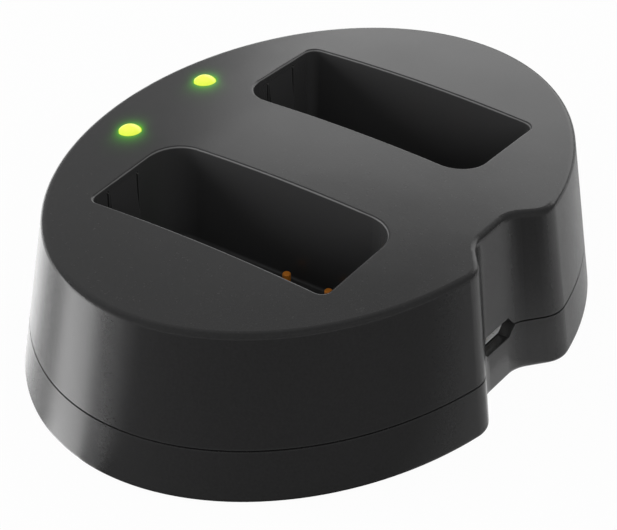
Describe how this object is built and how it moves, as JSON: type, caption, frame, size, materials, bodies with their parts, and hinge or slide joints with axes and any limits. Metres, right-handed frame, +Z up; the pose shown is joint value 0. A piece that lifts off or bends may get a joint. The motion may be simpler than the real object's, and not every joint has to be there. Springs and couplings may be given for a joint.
{
  "type": "camera battery charger",
  "caption": "Oval desktop charger in satin black plastic with twin battery pockets, spring contact pins, lit charge lamps and a rear notch with a USB inlet",
  "frame": {"origin": "under the oval's centre, on the plane that the feet rest on", "axes": "+Z up, +X across the two pockets, +Y towards the cable notch"},
  "size_m": [0.0878, 0.067, 0.0249],
  "materials": {
    "black_shell": "fine satin texture",
    "black_plastic": "moulded",
    "pale_plastic": "moulded",
    "board_green": "solder mask",
    "screw_steel": "dark zinc",
    "connector_steel": "bright",
    "contact_copper": "copper coloured plating",
    "contact_gold": "gold coloured plating",
    "tinned_wire": "tinned",
    "foot_rubber": "matte",
    "lamp_lit": "lit, yellow-green",
    "ferrite_grey": "sintered",
    "can_aluminium": "satin",
    "ceramic_tan": "fired"
  },
  "bodies": {
    "charger": {"top_housing": "black_shell", "bottom_cover": "black_shell", "circuit_board": "board_green", "housing_screws": "screw_steel", "board_screws": "screw_steel", "rubber_feet": "foot_rubber", "usb_shell": "connector_steel", "usb_tongue": "pale_plastic", "usb_contacts": "contact_gold", "led_leads": "tinned_wire", "status_led_right": "lamp_lit", "status_led_left": "lamp_lit", "charge_chips": "black_plastic", "chip_leads": "tinned_wire", "power_inductors": "ferrite_grey", "input_capacitor": "can_aluminium", "chip_capacitors": "ceramic_tan", "resistors": "black_plastic", "diodes": "black_plastic", "contact_barrel_right_1": "contact_gold", "contact_spring_right_1": "tinned_wire", "contact_barrel_right_2": "contact_gold", "contact_spring_right_2": "tinned_wire", "contact_barrel_left_1": "contact_gold", "contact_spring_left_1": "tinned_wire", "contact_barrel_left_2": "contact_gold", "contact_spring_left_2": "tinned_wire"},
    "pin_right_1": {"contact_plunger_right_1": "contact_copper"},
    "pin_right_2": {"contact_plunger_right_2": "contact_copper"},
    "pin_left_1": {"contact_plunger_left_1": "contact_copper"},
    "pin_left_2": {"contact_plunger_left_2": "contact_copper"}
  },
  "joints": [
    {"name": "pin_right_1_travel", "type": "slide", "parent": "charger", "child": "pin_right_1", "axis": [0, 0, -1], "range_m": [0, 0.0012], "stiffness_N_per_m": 300, "springref_m": -0.001, "deforming": ["contact_spring_right_1"]},
    {"name": "pin_right_2_travel", "type": "slide", "parent": "charger", "child": "pin_right_2", "axis": [0, 0, -1], "range_m": [0, 0.0012], "stiffness_N_per_m": 300, "springref_m": -0.001, "deforming": ["contact_spring_right_2"]},
    {"name": "pin_left_1_travel", "type": "slide", "parent": "charger", "child": "pin_left_1", "axis": [0, 0, -1], "range_m": [0, 0.0012], "stiffness_N_per_m": 300, "springref_m": -0.001, "deforming": ["contact_spring_left_1"]},
    {"name": "pin_left_2_travel", "type": "slide", "parent": "charger", "child": "pin_left_2", "axis": [0, 0, -1], "range_m": [0, 0.0012], "stiffness_N_per_m": 300, "springref_m": -0.001, "deforming": ["contact_spring_left_2"]}
  ]
}
